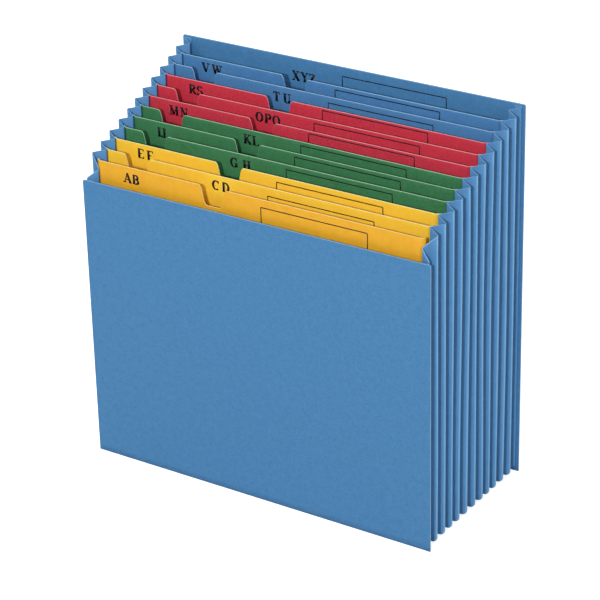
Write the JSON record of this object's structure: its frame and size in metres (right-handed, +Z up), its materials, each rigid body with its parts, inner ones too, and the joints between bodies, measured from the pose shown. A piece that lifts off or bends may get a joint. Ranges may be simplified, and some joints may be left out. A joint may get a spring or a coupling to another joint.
{
  "type": "expanding desk file",
  "caption": "Open-topped expanding desk file for letter paper, with a pleated gusset, stepped coloured alphabet dividers, a low front cover and a tall back cover.",
  "frame": {"origin": "bottom centre of the box round the file, on the surface it stands on", "axes": "+X along the width of the covers, towards the right seen from the front; +Y from the low front cover to the tall back cover; +Z up"},
  "size_m": [0.305, 0.1392, 0.308],
  "materials": {
    "cover_blue": "matte pressboard with a faint mottled grain",
    "gusset_blue": "matte gusset paper",
    "card_yellow": "smooth matte card",
    "card_green": "smooth matte card",
    "card_red": "smooth matte card",
    "card_blue": "smooth matte card"
  },
  "bodies": {
    "root": {"front_cover": "cover_blue", "back_cover": "cover_blue", "gusset": "gusset_blue", "divider_a_to_b": "card_yellow", "divider_c_to_d": "card_yellow", "divider_e_to_f": "card_yellow", "divider_g_to_h": "card_green", "divider_i_to_j": "card_green", "divider_k_to_l": "card_green", "divider_m_to_n": "card_red", "divider_o_to_q": "card_red", "divider_r_to_s": "card_red", "divider_t_to_u": "card_blue", "divider_v_to_w": "card_blue"}
  },
  "joints": []
}
